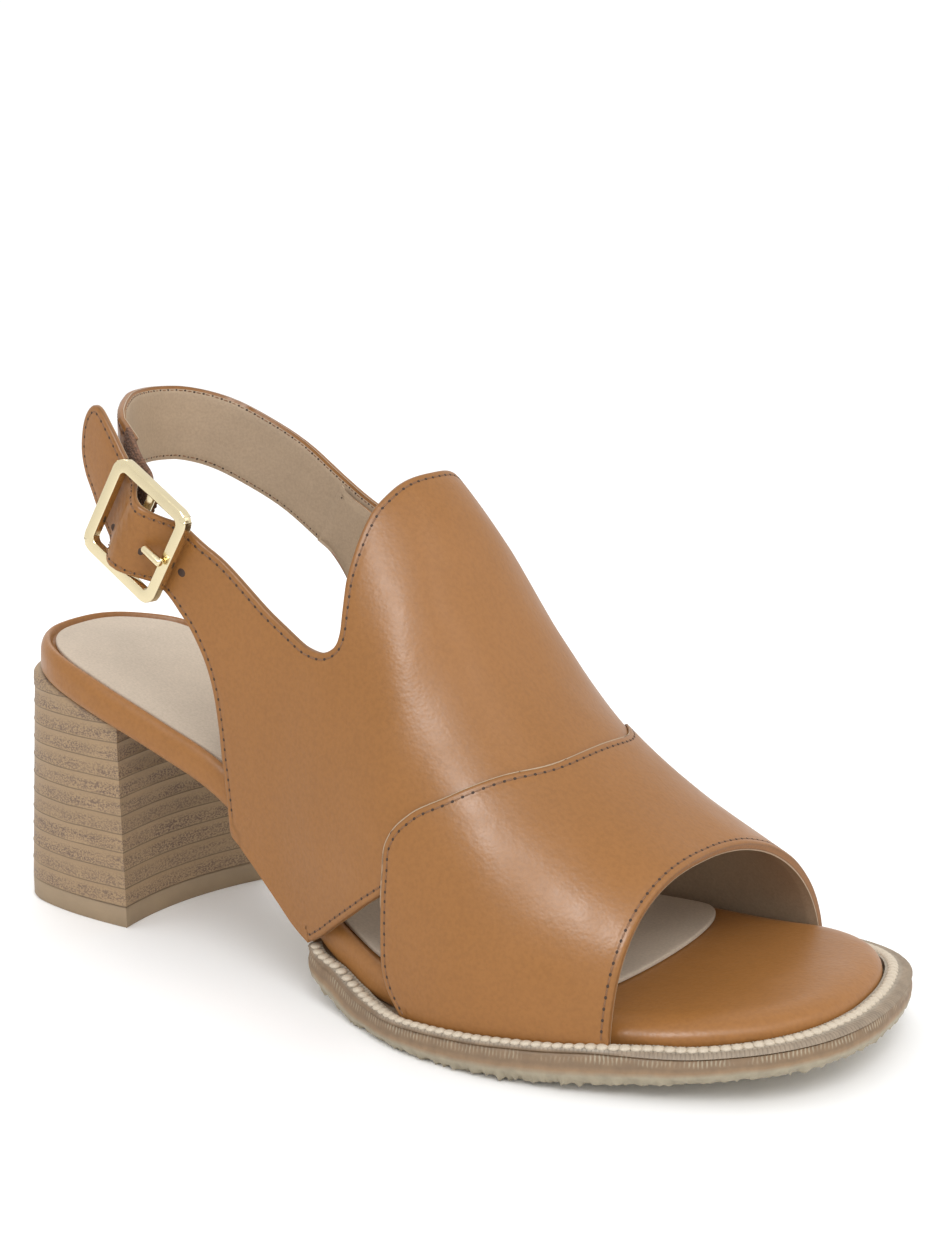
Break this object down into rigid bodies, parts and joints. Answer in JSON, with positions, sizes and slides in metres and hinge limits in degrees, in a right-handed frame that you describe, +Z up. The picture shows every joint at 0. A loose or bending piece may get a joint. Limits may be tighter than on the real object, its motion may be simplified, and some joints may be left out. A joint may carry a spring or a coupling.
{
  "type": "slingback sandal",
  "caption": "Open-toe slingback sandal in smooth leather with a stacked block heel, a buckled heel strap and a welted rubber sole.",
  "frame": {"origin": "middle of the box's floor, on the ground under the shoe", "axes": "+X towards the toe, +Y towards the medial side of the foot, +Z up"},
  "size_m": [0.255, 0.1098, 0.1434],
  "materials": {
    "outsole": "crepe-like rubber, stained brown on the upper half of its side",
    "welt": "pale ribbed welt",
    "footbed": "smooth tan leather wrap",
    "sock": "matt beige lining leather",
    "heel": "stacked layers, matt",
    "top_piece": "matt brown rubber",
    "upper": "smooth tan leather, satin",
    "sling_strap": "smooth tan leather, satin",
    "elastic": "knitted brown elastic",
    "buckle_frame": "polished gold plate",
    "buckle_prong": "polished gold plate"
  },
  "bodies": {
    "root": {"outsole": "outsole", "welt": "welt", "footbed": "footbed", "sock": "sock", "heel": "heel", "top_piece": "top_piece", "upper": "upper", "sling_strap": "sling_strap", "elastic": "elastic", "buckle_frame": "buckle_frame", "buckle_prong": "buckle_prong"}
  },
  "joints": []
}
